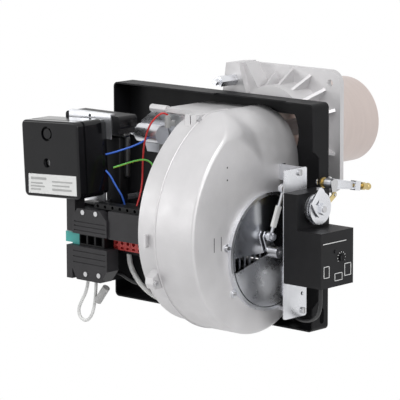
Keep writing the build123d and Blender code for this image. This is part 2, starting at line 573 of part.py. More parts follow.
def cam_follower_plate():
    """Adjusting plate at the outer end of the shaft, with its clamping nut."""
    y, z = SHAFT_Y, SHAFT_Z
    outline = [(y - 3, z + 27), (y + 2, z + 25), (y + 16, z + 2), (y + 10, z - 6), (y + 5, z - 6)]
    outline += [(y + 3, z - 10), (y - 6, z - 10), (y - 12, z - 4), (y - 20, z + 8)]
    plate = plate_x(outline, 375.9, 377.9)
    plate -= plate_x([(y - 13, z + 7), (y - 6, z + 13), (y - 8, z + 5)], 375, 379)
    plate -= bar_x(375, 379, y, z, SHAFT_R)
    plate += block(371.4, 376.5, y - 3.5, y + 1, z + 23.5, z + 27)
    nut = hex_x(377.9, 381, y, z, 13)
    return plate + nut - bar_x(375, 382, y, z, SHAFT_R)


def drive_link():
    """Strap between the crank on the servomotor and the one on the gas lever's shaft."""
    start = (SHAFT_Y + CRANK[0], SHAFT_Z + CRANK[1])
    reach = (GAS_Y - SHAFT_Y, GAS_Z - SHAFT_Z)
    link = lever_plate(*start, reach, 365.5, 366.9, 3.2, 3.2)
    link -= bar_x(365, 367, *start, 1.8 + FIT)
    return link - bar_x(365, 367, start[0] + reach[0], start[1] + reach[1], 2.1)


# ---------------------------------------------------------------- gas valve lever

def gas_shaft():
    """Shaft in the tray's rim, with the crank that the link pulls."""
    shaft = bar_x(338, 363.6, GAS_Y, GAS_Z, SHAFT_R)
    shaft += lever_plate(GAS_Y, GAS_Z, CRANK, 363.6, 365.2, 6.6, 3.4)
    return shaft + bar_x(365.2, 367.4, GAS_Y + CRANK[0], GAS_Z + CRANK[1], 1.8)


def gas_shaft_bush():
    bush = bar_x(341, 352, GAS_Y, GAS_Z, 5.45) + bar_x(TRAY_W, TRAY_W + 2, GAS_Y, GAS_Z, 6.8)
    return bush - bar_x(340, 353, GAS_Y, GAS_Z, SHAFT_R + FIT)


def along_gas_arm(distance, side=0.0):
    a = radians(GAS_ARM_DEG)
    return GAS_Y + distance * cos(a) - side * sin(a), GAS_Z + distance * sin(a) + side * cos(a)


def gas_lever():
    """Pressed lever with turned-up edges and a split clamp at its end."""
    lever = bar_x(353, 363, GAS_Y, GAS_Z, 6.8)
    web = [along_gas_arm(2, 6.5), along_gas_arm(50, 4.5), along_gas_arm(50, -4.5), along_gas_arm(2, -6.5)]
    lever += plate_x(web, 357, 358.5)
    for side in (1, -1):
        edge = [along_gas_arm(2, side * 6.5), along_gas_arm(50, side * 4.5)]
        edge += [along_gas_arm(50, side * 3.2), along_gas_arm(2, side * 5.2)]
        lever += plate_x(edge, 354.5, 361)
    lever += plate_x([along_gas_arm(46, 6), along_gas_arm(56, 6), along_gas_arm(56, -6), along_gas_arm(46, -6)],
                     353.5, 362)
    lever -= bar_between((357.75, *along_gas_arm(45)), (357.75, *along_gas_arm(57)), 2.6)
    return lever - bar_x(352, 364, GAS_Y, GAS_Z, SHAFT_R)


def gas_ball_rod():
    """Threaded rod with its nut and the ball that drives the gas valve's rod."""
    rod = bar_between((357.75, *along_gas_arm(45.5)), (357.75, *along_gas_arm(74)), 2.5)
    rod += bar_between((357.75, *along_gas_arm(62)), (357.75, *along_gas_arm(68)), 5)
    rod += bar_between((357.75, *along_gas_arm(68)), (357.75, *along_gas_arm(73)), 3.6)
    return rod + Pos(357.75, *along_gas_arm(GAS_ARM)) * Sphere(4.6)


# ---------------------------------------------------------------- control box

def tilt(shape):
    """Turn a control box piece about the middle of the box."""
    return Pos(CASE_X, 0, CASE_Z) * Rot(0, CASE_TILT, 0) * Pos(-CASE_X, 0, -CASE_Z) * shape


def case_block(inset, y0, y1, radius):
    half_w, half_h = CASE_W / 2 - inset, CASE_H / 2 - inset
    body = block(CASE_X - half_w, CASE_X + half_w, y0, y1, CASE_Z - half_h, CASE_Z + half_h)
    return soften(body, Axis.Y, radius)


BUTTON = (47.0, 243.5)
CASE_SCREW = (45.0, 206.0)
CASE_BACK = -156.0


def control_box_cover():
    lid_y = CASE_Y0 + CASE_LID
    cover = case_block(0, CASE_Y0, lid_y - 1.5, 7)
    front = cover.edges().group_by(Axis.Y)[0]
    cover = fillet(front, 2.5)
    cover += case_block(1.5, lid_y - 2, lid_y + 2, 6) + case_block(0, lid_y + 1.5, CASE_BACK, 7)
    cover -= case_block(3.5, CASE_Y0 + 3, CASE_BACK + 1, 4)
    well = bar_y(BUTTON[0], CASE_Y0 + 1, CASE_Y0 + 12, BUTTON[1], 13)
    well += bar_y(CASE_SCREW[0], CASE_Y0 + 1, CASE_Y0 + 12, CASE_SCREW[1], 8)
    cover += well
    cover -= bar_y(BUTTON[0], CASE_Y0 - 1, CASE_Y0 + 4, BUTTON[1], 9.5)
    cover -= bar_y(BUTTON[0], CASE_Y0 - 1, CASE_Y0 + 13, BUTTON[1], 6.8)
    cover -= bar_y(CASE_SCREW[0], CASE_Y0 - 1, CASE_Y0 + 9, CASE_SCREW[1], 6)
    return tilt(cover - bar_y(CASE_SCREW[0], CASE_Y0 - 1, CASE_Y0 + 13, CASE_SCREW[1], 2.5))


def control_box_base():
    base = case_block(2, CASE_BACK, CASE_Y1, 6)
    base -= case_block(6, CASE_BACK - 1, CASE_Y1 - 3, 3)
    base += bar_y(CASE_SCREW[0], CASE_Y0 + 12.2, CASE_Y1, CASE_SCREW[1], 5)
    return tilt(base - bar_y(CASE_SCREW[0], CASE_Y0, CASE_Y1 - 5, CASE_SCREW[1], 2))


def reset_button():
    button = bar_y(BUTTON[0], CASE_Y0 + 1.0, CASE_Y0 + 16, BUTTON[1], 6.5)
    button += bar_y(BUTTON[0], CASE_Y0 + 13.5, CASE_Y0 + 16, BUTTON[1], 8.5)
    return tilt(button)


def control_box_screw():
    head = bar_y(CASE_SCREW[0], CASE_Y0 + 5.5, CASE_Y0 + 9, CASE_SCREW[1], 4.5)
    shank = bar_y(CASE_SCREW[0], CASE_Y0 + 9, -165, CASE_SCREW[1], 1.95)
    slot = block(CASE_SCREW[0] - 5, CASE_SCREW[0] + 5, CASE_Y0 + 5, CASE_Y0 + 6.7, CASE_SCREW[1] - 0.6,
                 CASE_SCREW[1] + 0.6)
    return tilt(head + shank - slot)


def console_plate():
    """Zinc plated carrier of the control box and the ignition transformer."""
    plate = block(18, 96, CASE_Y1, CASE_Y1 + 2, 154, 240) + block(32, 107, CASE_Y1, CASE_Y1 + 2, 236, 268)
    plate += block(32, 107, CASE_Y1, CASE_Y1 + 8, 266, 268)
    plate += block(84, 96, CASE_Y1, -70, 152, 156)
    plate += block(84, 96, -72, INSIDE_Y, 152, 154) + block(84, 96, -4, INSIDE_Y, 140, 154)
    return plate - bar_y(70, CASE_Y1 - 1, CASE_Y1 + 3, 263.5, 2.2)


def ignition_transformer():
    """Moulded block behind the carrier, with its two terminals."""
    body = soften(block(24, 121, CASE_Y1 + 2, -112, 249, 265.9), Axis.Y, 5)
    body += block(40, 119, CASE_Y1 + 2, -114, 243, 250)
    return body + bar_x(121, 125, -124, 256, 4)


# ---------------------------------------------------------------- plugs and terminals

def terminal_base():
    base = block(BASE_X0, BASE_MID, PANEL_Y, BASE_BACK, BASE_Z0, BASE_Z1)
    base += block(BASE_X0, X_LEFT, PANEL_Y, BASE_BACK, BASE_Z1, BASE_Z2)
    base -= block(BASE_X0 + 3, BASE_MID - 3, PANEL_Y + 4, BASE_BACK + 1, BASE_Z0 + 3, BASE_Z2 - 3)
    base -= block(BASE_MID, X_LEFT - 3, PANEL_Y + 4, BASE_BACK + 1, BASE_Z1 + 3, BASE_Z2 - 3)
    base += block(106, X_LEFT - 4, -176, PANEL_Y, 151.5, 158) + block(81, 125, -178, PANEL_Y, 101.3, 116.6)
    for k in range(7):
        base -= bar_y(112 + 13 * k, -177, -168, 154.7, 2.2)
    for k in range(3):
        base -= block(82 + 14 * k, 93 + 14 * k, -179, -168, 103.5, 114.5)
    return base


def terminal_cover():
    return soften(block(136.2, 197, -182, PANEL_Y, 115.5, 151.4), Axis.Y, 1.5)


def plug_cap(x0, x1, y0, y1, low, high, sign):
    """Stepped plug cover: a shell whose outer end narrows towards its two screws."""
    wide = high if sign < 0 else low
    tip = low if sign < 0 else high
    mid = tip + (wide - tip) * 0.36
    front = [(x0, wide), (x1, wide), (x1, mid), (x1 - 12, tip), (x0 + 9, tip), (x0, mid)]
    cap = plate_y(front, y0, y1)
    for k in range(3):
        z = wide + (tip - wide) * (0.14 + 0.17 * k)
        cap -= block(x0 + 3, x1 - 2, y0 - 1, y0 + 1.2, z - 0.6, z + 0.6)
    return cap


def upper_plug():
    cap = plug_cap(75, 136, -185, -163, 117, 150, 1)
    return cap + block(BASE_X0, 76, -181, -163, 118, 162)


def lower_plug():
    cap = plug_cap(75, 138, -187, -166, 58, 101, -1)
    return cap + block(66, 76, -187, -166, 58, 101)


def cover_screws():
    """Screws of the two plug covers, with the one of the control box."""
    places = ((94.5, -185, 145.5), (117.5, -185, 146), (100.5, -187, 66.5), (124, -187, 67.5))
    return [bar_y(x, y - 1.2, y, z, 3.2) for x, y, z in places] + [control_box_screw()]


def red_terminals():
    row = []
    for k in range(5):
        x = 130 + 10 * k
        pole = block(x, x + 9.6, -165.9, PANEL_Y, 100, 114.5)
        pole -= bar_y(x + 4.8, -167, -162, 109.5, 2.6)
        pole -= block(x + 2, x + 7.6, -167, -163, 101.5, 104.5)
        row.append(pole)
    return row


def plug_latches():
    return [block(68, 80.5, -178, PANEL_Y, 101.2, 115), block(55, 67.8, -177, -163, 102.5, 116)]


# ---------------------------------------------------------------- switch and its bracket

def switch_bracket():
    outline = [(110, 214), (98, 248), (101, 254), (118, 266), (196, 266), (196, 214)]
    plate = plate_y(outline, BOX_Y - 2, BOX_Y)
    plate -= block(147, 149, BOX_Y - 3, BOX_Y + 1, 236, 252)
    return plate


SWITCH_Y, SWITCH_Z = -96.0, 240.5


def air_pressure_switch():
    body = bar_x(112, 150, SWITCH_Y, SWITCH_Z, 12) + bar_x(108, 112, SWITCH_Y, SWITCH_Z, 9)
    body += bar_x(90, 108, SWITCH_Y, SWITCH_Z, 3.4) + bar_x(98, 101, SWITCH_Y, SWITCH_Z, 4.6)
    return body + block(120, 142, SWITCH_Y, BOX_Y - 2, SWITCH_Z - 5, SWITCH_Z + 5)


# ---------------------------------------------------------------- cables

def wire_connectors():
    """Spark lead's cap, wire clip, and the grey sheath end of the plug's lead."""
    cap = bar_z(156, -92, 250, 266, 4) + block(152, 160, -92, BOX_Y - 2, 252, 258)
    clip = block(141, 147, -92, BOX_Y - 2, 219, 227.5)
    sheath = bar_between((126, -176, 50.8), (110.5, -176, 31), 5)
    sheath -= bar_between((123.5, -176, 47.6), (109, -176, 29.1), 3.4)
    return [cap, clip, sheath]


WHITE_R, MAINS_R, BLACK_R, SERVO_CABLE_R, WIRE_R = 2.1, 3.2, 2.5, 2.4, 1.2

WHITE_LOOP = [(94, -176, 58), (91, -176, 42), (83, -177, 29), (76, -177, 16), (78, -176, 5),
              (88, -175, 1), (97, -174, 9), (102, -174, 22), (105, -174, 40), (106, -174, 58)]
MAINS_CABLE = [(141, -150, 95), (143, -151, 82), (150, -150, 68), (160, -147, 54), (172, -138, 41),
               (183, -120, 30), (189, -102, 22), (188, -82, 17), (182, -60, 14.5), (174, -38, 14),
               (169, -19, 14), (168, -2, 14)]
BLACK_CABLE = [(118, -150, 66), (127, -149, 65), (137, -144, 57), (149, -139, 53), (161, -133, 54),
               (172, -128, 58), (183, -124, 63), (194, -122, 65)]
SERVO_CABLE = [(374, -48, 71), (374, -48, 56), (373, -47, 40), (365, -42, 27), (351, -37, 18),
               (335, -33, 14), (320, -27, 13.5), (306, -18, 14), (295, -10, 15), (292, -2, 15)]
RED_WIRE = [(156, -92, 266), (155, -98, 270.5), (150, -106, 266), (144, -112.5, 255), (138, -113, 242),
            (134, -113, 228), (132, -113, 213), (132, -114, 196), (136, -119, 179), (140, -128, 163),
            (141, -135, 152)]
BLUE_WIRE = [(102.6, -151, 217), (110, -147, 219), (119, -138, 223), (127, -126, 227), (131, -115, 231),
             (131, -106, 234)]
BLUE_LEAD = [(102.6, -151, 196), (109, -150, 191), (114, -149, 183), (120, -147, 173), (126, -144, 163),
             (128, -143, 152)]
EARTH_WIRE = [(110, -145, 200), (119, -134, 204), (131, -124, 209), (144, -119, 211), (154, -117, 205),
              (158, -119, 192), (157, -125, 177), (154, -131, 164), (153, -134, 152)]
CORDS = {"white_loop_cable": (WHITE_LOOP, WHITE_R), "mains_cable": (MAINS_CABLE, MAINS_R),
         "black_cable": (BLACK_CABLE, BLACK_R), "servo_cable": (SERVO_CABLE, SERVO_CABLE_R),
         "red_wire": (RED_WIRE, WIRE_R), "blue_wire": (BLUE_WIRE, WIRE_R),
         "blue_lead": (BLUE_LEAD, WIRE_R), "earth_wire": (EARTH_WIRE, WIRE_R)}


def cord_tube(node, route, radius):
    """Straight runs joined by tangent arcs, each as large as its two runs allow."""
    points = [Vector(*p) for p in route]
    radii = []
    for a, b, c in zip(points, points[1:], points[2:]):
        turn = radians((b - a).get_angle(c - b))
        radii.append(0.45 * min((b - a).length, (c - b).length) / tan(turn / 2))
    path = FilletPolyline(points, radius=radii)
    start = Plane(origin=points[0], z_dir=points[1] - points[0])
    tube = sweep(start * Circle(radius), path)
    wanted = pi * radius ** 2 * path.length
    print(node, "radii", [round(r, 1) for r in radii], "length", round(path.length, 1),
          "volume ratio", round(tube.volume / wanted, 4))
    return tube


def build():
    nodes = {
        "mounting_tray": mounting_tray(),
        "burner_flange": burner_flange(),
        "flange_stud": flange_stud(),
        "blast_tube": blast_tube(),
        "gas_pipe": gas_pipe(),
        "diffuser_disc": diffuser_disc(),
        "electrodes": [electrode(ELECTRODE_DX[0], 7), electrode(ELECTRODE_DX[1], 12)],
        "fan_housing_intake": fan_housing_intake(),
        "fan_housing_motor_side": fan_housing_motor_side(),
        "housing_screws": housing_screws(),
        "hinge_bar": hinge_bar(),
        "fan_wheel": fan_wheel(),
        "motor_housing": motor_housing(),
        "motor_shaft": motor_shaft(),
        "intake_ring": intake_ring(),
        "intake_disc": intake_disc(),
        "damper_shaft": damper_shaft(),
        "damper_blade": damper_blade(),
        "damper_stud": pivot_stud(*LOW_PIN, DAMPER_X + 0.1, 316, 312.6),
        "rod_ends": [rod_end(ROD_LOW, ROD_HIGH, 2.8), rod_end(ROD_HIGH, ROD_LOW, 2.5 + FIT)],
        "tie_rod_sleeve": tie_rod_sleeve(),
        "servo_lever": servo_lever(),
        "servo_lever_stud": pivot_stud(*HIGH_PIN, 315, LEVER_X0 + 2.4, 315.4),
        "servo_bracket": servo_bracket(),
        "bracket_fixings": bracket_fixings(),
        "servo_housing": servo_housing(),
        "servo_faceplate": [servo_faceplate(), servo_lamp()],
        "servo_knob": servo_knob(),
        "servo_shaft": servo_shaft(),
        "servo_crank": servo_crank(),
        "switching_cams": [cam_disc(*cam) for cam in CAMS],
        "cam_plate": cam_follower_plate(),
        "drive_link": drive_link(),
        "gas_shaft": gas_shaft(),
        "gas_shaft_bush": gas_shaft_bush(),
        "gas_lever": gas_lever(),
        "gas_ball_rod": gas_ball_rod(),
        "control_box_cover": control_box_cover(),
        "control_box_base": control_box_base(),
        "reset_button": reset_button(),
        "console_plate": console_plate(),
        "ignition_transformer": ignition_transformer(),
        "terminal_base": terminal_base(),
        "terminal_cover": terminal_cover(),
        "upper_plug": upper_plug(),
        "lower_plug": lower_plug(),
        "cover_screws": cover_screws(),
        "red_terminals": red_terminals(),
        "plug_latches": plug_latches(),
        "switch_bracket": switch_bracket(),
        "air_pressure_switch": air_pressure_switch(),
        "wire_connectors": wire_connectors(),
    }
    for node, shapes in nodes.items():
        save(node, *(shapes if isinstance(shapes, list) else [shapes]))
    for node, (route, radius) in CORDS.items():
        save(node, cord_tube(node, route, radius))


build()
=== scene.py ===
"""Industrial gas burner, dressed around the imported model."""
import json
from math import cos, pi, radians, sin

import bmesh
import bpy
from mathutils import Euler, Matrix, Vector
from mathutils.bvhtree import BVHTree


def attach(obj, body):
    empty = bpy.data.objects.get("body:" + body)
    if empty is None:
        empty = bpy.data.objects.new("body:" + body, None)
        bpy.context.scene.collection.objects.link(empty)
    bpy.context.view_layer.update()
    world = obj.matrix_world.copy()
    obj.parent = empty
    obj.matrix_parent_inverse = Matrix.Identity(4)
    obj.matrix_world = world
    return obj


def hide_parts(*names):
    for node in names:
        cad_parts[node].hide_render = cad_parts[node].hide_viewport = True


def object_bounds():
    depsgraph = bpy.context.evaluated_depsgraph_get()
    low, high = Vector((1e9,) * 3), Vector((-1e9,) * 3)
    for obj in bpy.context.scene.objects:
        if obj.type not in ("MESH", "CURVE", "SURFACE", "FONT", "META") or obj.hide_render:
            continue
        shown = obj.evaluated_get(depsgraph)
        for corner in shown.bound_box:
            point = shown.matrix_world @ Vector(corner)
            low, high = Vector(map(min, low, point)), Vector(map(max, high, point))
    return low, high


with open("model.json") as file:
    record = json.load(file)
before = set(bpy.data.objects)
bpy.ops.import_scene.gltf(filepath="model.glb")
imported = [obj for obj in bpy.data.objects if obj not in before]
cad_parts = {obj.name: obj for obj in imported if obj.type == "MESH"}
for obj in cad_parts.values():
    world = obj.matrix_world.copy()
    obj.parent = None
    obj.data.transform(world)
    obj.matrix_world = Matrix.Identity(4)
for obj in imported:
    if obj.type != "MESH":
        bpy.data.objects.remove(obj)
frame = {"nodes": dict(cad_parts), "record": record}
NODES = frame["nodes"]
CAD_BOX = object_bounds()

# The tray's lower left corner, seen from the row's origin, in millimetres.
TRAY = Vector((-250.0, -50.0, -245.0))


def at(x, y, z):
    """A place measured in millimetres from the tray's lower left corner, in the row's metres."""
    return (Vector((x, y, z)) + TRAY) / 1000


# ---------------------------------------------------------------- camera

CAMERA_AT = (2454.15, -2543.22, 743.81)
CAMERA_AZIMUTH, CAMERA_ELEVATION, CAMERA_ROLL = 42.46, 9.92, -0.2
CAMERA_LENS = 239.68


def make_camera():
    camera = bpy.data.objects.new("camera", bpy.data.cameras.new("camera"))
    bpy.context.scene.collection.objects.link(camera)
    camera.data.lens = CAMERA_LENS
    camera.data.sensor_width = 36
    camera.data.clip_end = 50
    turn = Euler((radians(90 - CAMERA_ELEVATION), 0, radians(CAMERA_AZIMUTH))).to_matrix()
    turn = turn @ Matrix.Rotation(radians(CAMERA_ROLL), 3, "Z")
    camera.matrix_world = Matrix.Translation(at(*CAMERA_AT)) @ turn.to_4x4()
    bpy.context.scene.camera = camera


make_camera()


# ---------------------------------------------------------------- finishes

class Finish:
    """A node material built up from one Principled shader."""

    def __init__(self, name, colour, metallic=0.0, roughness=0.5, sheen=0.5):
        self.material = bpy.data.materials.new(name)
        self.material.use_nodes = True
        self.tree = self.material.node_tree
        self.shader = self.tree.nodes["Principled BSDF"]
        self.shader.inputs["Base Color"].default_value = (*colour, 1)
        self.shader.inputs["Metallic"].default_value = metallic
        self.shader.inputs["Roughness"].default_value = roughness
        self.shader.inputs["Specular IOR Level"].default_value = sheen
        self.colour, self.roughness = colour, roughness
        self.place = self.tree.nodes.new("ShaderNodeTexCoord").outputs["Object"]
        self.height = None

    def node(self, kind, **values):
        made = self.tree.nodes.new(kind)
        for key, value in values.items():
            if key in made.inputs:
                made.inputs[key].default_value = value
            else:
                setattr(made, key, value)
        return made

    def stretched(self, scale):
        mapping = self.node("ShaderNodeMapping", Scale=scale)
        self.tree.links.new(self.place, mapping.inputs["Vector"])
        return mapping.outputs["Vector"]

    def noise(self, scale, detail=3.0, stretch=None):
        source = self.stretched(stretch) if stretch else self.place
        made = self.node("ShaderNodeTexNoise", Scale=scale, Detail=detail)
        self.tree.links.new(source, made.inputs["Vector"])
        return made.outputs["Fac"]

    def spread(self, source, low, high, start=0.3, end=0.7):
        made = self.node("ShaderNodeMapRange")
        self.tree.links.new(source, made.inputs["Value"])
        for name, value in (("From Min", start), ("From Max", end), ("To Min", low), ("To Max", high)):
            made.inputs[name].default_value = value
        return made.outputs["Result"]

    def mottle(self, scale, amount, detail=3.0, stretch=None):
        """Lighter and darker patches of the base colour."""
        mix = self.node("ShaderNodeMix", data_type="RGBA")
        self.tree.links.new(self.spread(self.noise(scale, detail, stretch), 0, 1), mix.inputs["Factor"])
        base = self.shader.inputs["Base Color"]
        mix.inputs["A"].default_value = (*[c * (1 - amount) for c in self.colour], 1)
        mix.inputs["B"].default_value = (*[min(1, c * (1 + amount)) for c in self.colour], 1)
        self.tree.links.new(mix.outputs["Result"], base)
        return self

    def uneven_gloss(self, scale, amount, stretch=None):
        low, high = self.roughness * (1 - amount), min(1, self.roughness * (1 + amount))
        self.tree.links.new(self.spread(self.noise(scale, 4, stretch), low, high),
                            self.shader.inputs["Roughness"])
        return self

    def grain(self, scale, depth, detail=3.0, stretch=None):
        """Raised grain, depth in metres."""
        bump = self.node("ShaderNodeBump", Distance=depth, Strength=1.0)
        self.tree.links.new(self.noise(scale, detail, stretch), bump.inputs["Height"])
        if self.height:
            self.tree.links.new(self.height, bump.inputs["Normal"])
        self.height = bump.outputs["Normal"]
        self.tree.links.new(self.height, self.shader.inputs["Normal"])
        return self


def make_finishes():
    cast = Finish("shot blasted casting", (0.61, 0.6, 0.605), 0.5, 0.48)
    cast.mottle(22, 0.05).uneven_gloss(60, 0.12).grain(1400, 0.00012).grain(160, 0.00016)
    tray = Finish("black powder coat", (0.006, 0.006, 0.007), 0.0, 0.5, 0.16)
    tray.mottle(40, 0.2).uneven_gloss(25, 0.1).grain(1100, 0.00005)
    tube = Finish("rolled stainless steel", (0.6, 0.52, 0.49), 0.9, 0.38)
    tube.mottle(14, 0.03, stretch=(1, 12, 1)).uneven_gloss(30, 0.1, (2, 30, 2))
    tube.grain(300, 0.000008, stretch=(1, 14, 1))
    zinc = Finish("bright zinc plate", (0.72, 0.73, 0.76), 0.95, 0.3)
    zinc.mottle(30, 0.08).uneven_gloss(45, 0.25).grain(500, 0.00002)
    disc = Finish("galvanised sheet", (0.6, 0.61, 0.64), 1.0, 0.2)
    disc.mottle(18, 0.1).uneven_gloss(20, 0.25).grain(90, 0.00003)
    yellow = Finish("yellow passivated zinc", (0.62, 0.5, 0.24), 0.9, 0.32)
    yellow.mottle(60, 0.22).grain(600, 0.00002)
    steel = Finish("machined steel", (0.55, 0.55, 0.56), 1.0, 0.3)
    steel.mottle(70, 0.06).uneven_gloss(80, 0.2).grain(700, 0.00001)
    brass = Finish("machined brass", (0.6, 0.47, 0.22), 0.95, 0.3)
    brass.mottle(80, 0.12).grain(700, 0.00001)
    black = Finish("black moulding", (0.008, 0.008, 0.009), 0.0, 0.42, 0.2)
    black.mottle(60, 0.15).grain(1300, 0.00004)
    cover = Finish("dark grey moulding", (0.022, 0.021, 0.023), 0.0, 0.45, 0.3)
    cover.mottle(60, 0.12).grain(1100, 0.00005)
    gloss = Finish("gloss black moulding", (0.004, 0.004, 0.005), 0.0, 0.14, 0.3)
    gloss.mottle(30, 0.1).uneven_gloss(30, 0.3).grain(120, 0.00002)
    white = Finish("white moulding", (0.78, 0.78, 0.76), 0.0, 0.4)
    white.mottle(60, 0.03).grain(900, 0.00002)
    grey = Finish("grey moulding", (0.42, 0.42, 0.41), 0.0, 0.45)
    grey.mottle(60, 0.05).grain(900, 0.00003)
    red = Finish("red moulding", (0.52, 0.05, 0.045), 0.0, 0.4)
    red.mottle(60, 0.08).grain(900, 0.00003)
    teal = Finish("teal moulding", (0.06, 0.42, 0.38), 0.0, 0.4)
    teal.mottle(60, 0.08).grain(900, 0.00003)
    ceramic = Finish("glazed ceramic", (0.8, 0.78, 0.72), 0.0, 0.2)
    ceramic.mottle(50, 0.04).grain(300, 0.00001)
    motor = Finish("grey motor paint", (0.06, 0.06, 0.065), 0.0, 0.45)
    motor.mottle(50, 0.1).grain(800, 0.00004)
    return {
        "cast_aluminium": cast, "black_paint": tray, "tube_steel": tube, "gas_pipe_steel": zinc,
        "zinc": zinc, "galvanised": disc, "yellow_zinc": yellow, "screw_steel": steel, "brass": brass,
        "black_plastic": black, "cover_plastic": cover, "cam_plastic": black, "gloss_black": gloss,
        "white_plastic": white, "grey_plastic": grey, "red_plastic": red, "teal_plastic": teal,
        "ceramic": ceramic, "motor_paint": motor,
    }


FINISHES = {slot: made.material for slot, made in make_finishes().items()}


def cable_finish(name, colour, second=None):
    """Cable sheath, striped lengthwise by its own UV map where it has a second colour."""
    made = Finish(name, colour, 0.0, 0.42)
    made.mottle(80, 0.06).grain(500, 0.00002)
    if second:
        uv = made.node("ShaderNodeUVMap")
        part = made.node("ShaderNodeSeparateXYZ")
        made.tree.links.new(uv.outputs["UV"], part.inputs["Vector"])
        step = made.node("ShaderNodeMath", operation="GREATER_THAN")
        step.inputs[1].default_value = 0.5
        made.tree.links.new(part.outputs["Y"], step.inputs[0])
        mix = made.node("ShaderNodeMix", data_type="RGBA")
        made.tree.links.new(step.outputs["Value"], mix.inputs["Factor"])
        mix.inputs["A"].default_value = (*colour, 1)
        mix.inputs["B"].default_value = (*second, 1)
        made.tree.links.new(mix.outputs["Result"], made.shader.inputs["Base Color"])
    return made.material


for slot_name, (colour, second) in {
        "white_cable": ((0.76, 0.76, 0.74), None), "black_cable": ((0.014, 0.014, 0.015), None),
        "red_cable": ((0.55, 0.02, 0.02), None), "blue_cable": ((0.03, 0.12, 0.55), None),
        "green_cable": ((0.1, 0.42, 0.06), (0.75, 0.7, 0.05))}.items():
    FINISHES[slot_name] = cable_finish(slot_name.replace("_", " "), colour, second)

for entry in frame["record"]["subparts"]:
    mesh = NODES[entry["node"]].data
    mesh.materials.clear()
    mesh.materials.append(FINISHES[entry["material_slot"]])
SLOT_OF = {entry["node"]: entry["material_slot"] for entry in frame["record"]["subparts"]}


# ---------------------------------------------------------------- node trees

def put(tree, value, socket):
    """Link a value to a socket, or write it there."""
    source = value.socket if isinstance(value, Number) else value
    if isinstance(source, bpy.types.NodeSocket):
        tree.links.new(source, socket)
    else:
        socket.default_value = source


class Number:
    """A number inside a tree; arithmetic on it adds Math nodes."""

    def __init__(self, tree, socket):
        self.tree, self.socket = tree, socket

    def math(self, operation, *others):
        made = self.tree.nodes.new("ShaderNodeMath")
        made.operation = operation
        for socket, value in zip(made.inputs, (self, *others)):
            put(self.tree, value, socket)
        return Number(self.tree, made.outputs[0])

    def __add__(self, other):
        return self.math("ADD", other)

    def __sub__(self, other):
        return self.math("SUBTRACT", other)

    def __mul__(self, other):
        return self.math("MULTIPLY", other)

    def __truediv__(self, other):
        return self.math("DIVIDE", other)

    def share(self, start, end, smooth=False):
        """How far the number has gone from start to end, from 0 to 1."""
        made = self.tree.nodes.new("ShaderNodeMapRange")
        made.interpolation_type = "SMOOTHSTEP" if smooth else "LINEAR"
        for socket, value in zip(made.inputs, (self, start, end)):
            put(self.tree, value, socket)
        return Number(self.tree, made.outputs["Result"])


class Tree:
    """A Geometry Nodes tree in millimetres, with named sizes."""

    def __init__(self, name, **sizes):
        self.name, self.sizes = name, sizes
        self.group = bpy.data.node_groups.new(name, "GeometryNodeTree")
        self.nodes, self.links = self.group.nodes, self.group.links
        face = self.group.interface
        face.new_socket("Geometry", in_out="OUTPUT", socket_type="NodeSocketGeometry")
        face.new_socket("Geometry", in_out="INPUT", socket_type="NodeSocketGeometry")
        for key in sizes:
            face.new_socket(key, in_out="INPUT", socket_type="NodeSocketFloat")
        self.start = self.nodes.new("NodeGroupInput")

    def size(self, key):
        return Number(self, self.start.outputs[key])

    def add(self, kind, settings=None, **inputs):
        made = self.nodes.new(kind)
        for key, value in (settings or {}).items():
            setattr(made, key, value)
        for key, value in inputs.items():
            put(self, value, made.inputs[key.replace("_", " ")])
        return made

    def place(self, shape, x, y, z):
        """Move every point to the place that the three numbers give."""
        spot = self.add("ShaderNodeCombineXYZ", X=x, Y=y, Z=z)
        moved = self.add("GeometryNodeSetPosition", Geometry=shape, Position=spot.outputs["Vector"])
        return moved.outputs["Geometry"]

    def run(self, shape, slot, points=()):
        """The finished plain mesh, in metres, of the tree run on some points."""
        realised = self.add("GeometryNodeRealizeInstances", Geometry=shape)
        coated = self.add("GeometryNodeSetMaterial", Geometry=realised.outputs["Geometry"],
                          Material=FINISHES[slot])
        end = self.nodes.new("NodeGroupOutput")
        self.links.new(coated.outputs["Geometry"], end.inputs["Geometry"])
        source = bpy.data.meshes.new(self.name)
        source.from_pydata(points, [], [])
        piece = bpy.data.objects.new(self.name, source)
        bpy.context.scene.collection.objects.link(piece)
        modifier = piece.modifiers.new(self.name, "NODES")
        modifier.node_group = self.group
        for item in self.group.interface.items_tree:
            if item.name in self.sizes:
                modifier[item.identifier] = float(self.sizes[item.name])
        piece.data = bake(piece)
        piece.modifiers.clear()
        piece.data.transform(Matrix.Translation(at(0, 0, 0)) @ Matrix.Scale(0.001, 4))
        return piece


def bake(piece):
    """The piece's mesh with its modifiers applied."""
    bpy.context.view_layer.update()
    graph = bpy.context.evaluated_depsgraph_get()
    return bpy.data.meshes.new_from_object(piece.evaluated_get(graph))


def finish_modifiers(piece):
    mesh = bake(piece)
    piece.modifiers.clear()
    piece.data = mesh


def dress(piece, body, slot, *nodes, angle=35):
    """Let a finished piece ride on its body and stand for its nodes."""
    piece.data.shade_smooth()
    piece.data.set_sharp_from_angle(angle=radians(angle))
    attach(piece, body)
    if nodes:
        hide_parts(*nodes)
    return piece


def face_outwards(piece):
    """Merge doubles and turn the faces the same way, outwards."""
    work = bmesh.new()
    work.from_mesh(piece.data)
    bmesh.ops.remove_doubles(work, verts=work.verts, dist=0.00002)
    bmesh.ops.dissolve_degenerate(work, edges=work.edges, dist=0.00001)
    bmesh.ops.recalc_face_normals(work, faces=work.faces)
    work.to_mesh(piece.data)
    work.free()


# ---------------------------------------------------------------- fan scroll

